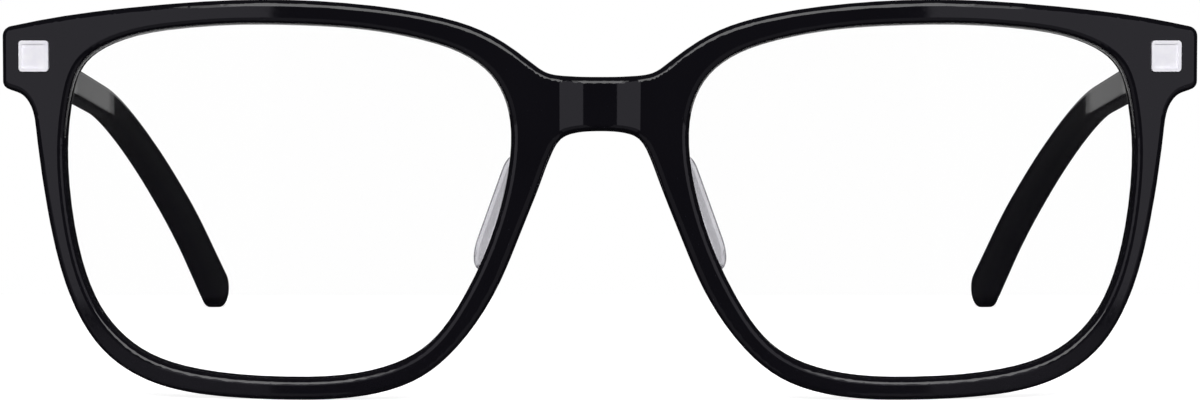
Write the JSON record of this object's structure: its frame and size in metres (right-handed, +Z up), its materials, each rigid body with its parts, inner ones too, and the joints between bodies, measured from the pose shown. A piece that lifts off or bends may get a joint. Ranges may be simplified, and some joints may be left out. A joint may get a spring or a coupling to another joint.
{
  "type": "eyeglasses",
  "caption": "Square eyeglasses with a curved acetate front, clear lenses, nose pads, plaques on the end pieces and folding temples with a drop end.",
  "frame": {"origin": "under the middle of the whole, on the level of the rims' lowest points and the temple tips, temples open", "axes": "+X to the wearer's left, +Y backwards from the front to the temple tips, +Z up"},
  "size_m": [0.142, 0.14, 0.0462],
  "materials": {
    "black_acetate": "polished",
    "clear_lens": "clear, coated",
    "clear_pad": "clear, polished",
    "plaque_metal": "polished border, brushed field",
    "hinge_steel": "tumbled",
    "rivet_steel": "headed and ground flush",
    "screw_steel": "turned, slotted head",
    "wire_metal": "drawn nickel silver"
  },
  "bodies": {
    "front": {"frame_front": "black_acetate", "lens_left": "clear_lens", "lens_right": "clear_lens", "nose_pad_left": "clear_pad", "nose_pad_right": "clear_pad", "end_plaque_left": "plaque_metal", "end_plaque_right": "plaque_metal", "front_hinge_leaf_left": "hinge_steel", "front_hinge_leaf_right": "hinge_steel", "front_hinge_rivets_left": "rivet_steel", "front_hinge_rivets_right": "rivet_steel", "hinge_screw_left": "screw_steel", "hinge_screw_right": "screw_steel"},
    "temple_left": {"temple_left": "black_acetate", "temple_hinge_leaf_left": "hinge_steel", "temple_hinge_rivets_left": "rivet_steel", "temple_core_wire_left": "wire_metal"},
    "temple_right": {"temple_right": "black_acetate", "temple_hinge_leaf_right": "hinge_steel", "temple_hinge_rivets_right": "rivet_steel", "temple_core_wire_right": "wire_metal"}
  },
  "joints": [
    {"name": "temple_left_fold", "type": "hinge", "parent": "front", "child": "temple_left", "pos_m": [0.0634, -0.05833, 0.0397], "axis": [0, 0, 1], "range_deg": [0, 87]},
    {"name": "temple_right_fold", "type": "hinge", "parent": "front", "child": "temple_right", "pos_m": [-0.0634, -0.05833, 0.0397], "axis": [0, 0, -1], "range_deg": [0, 77]}
  ]
}
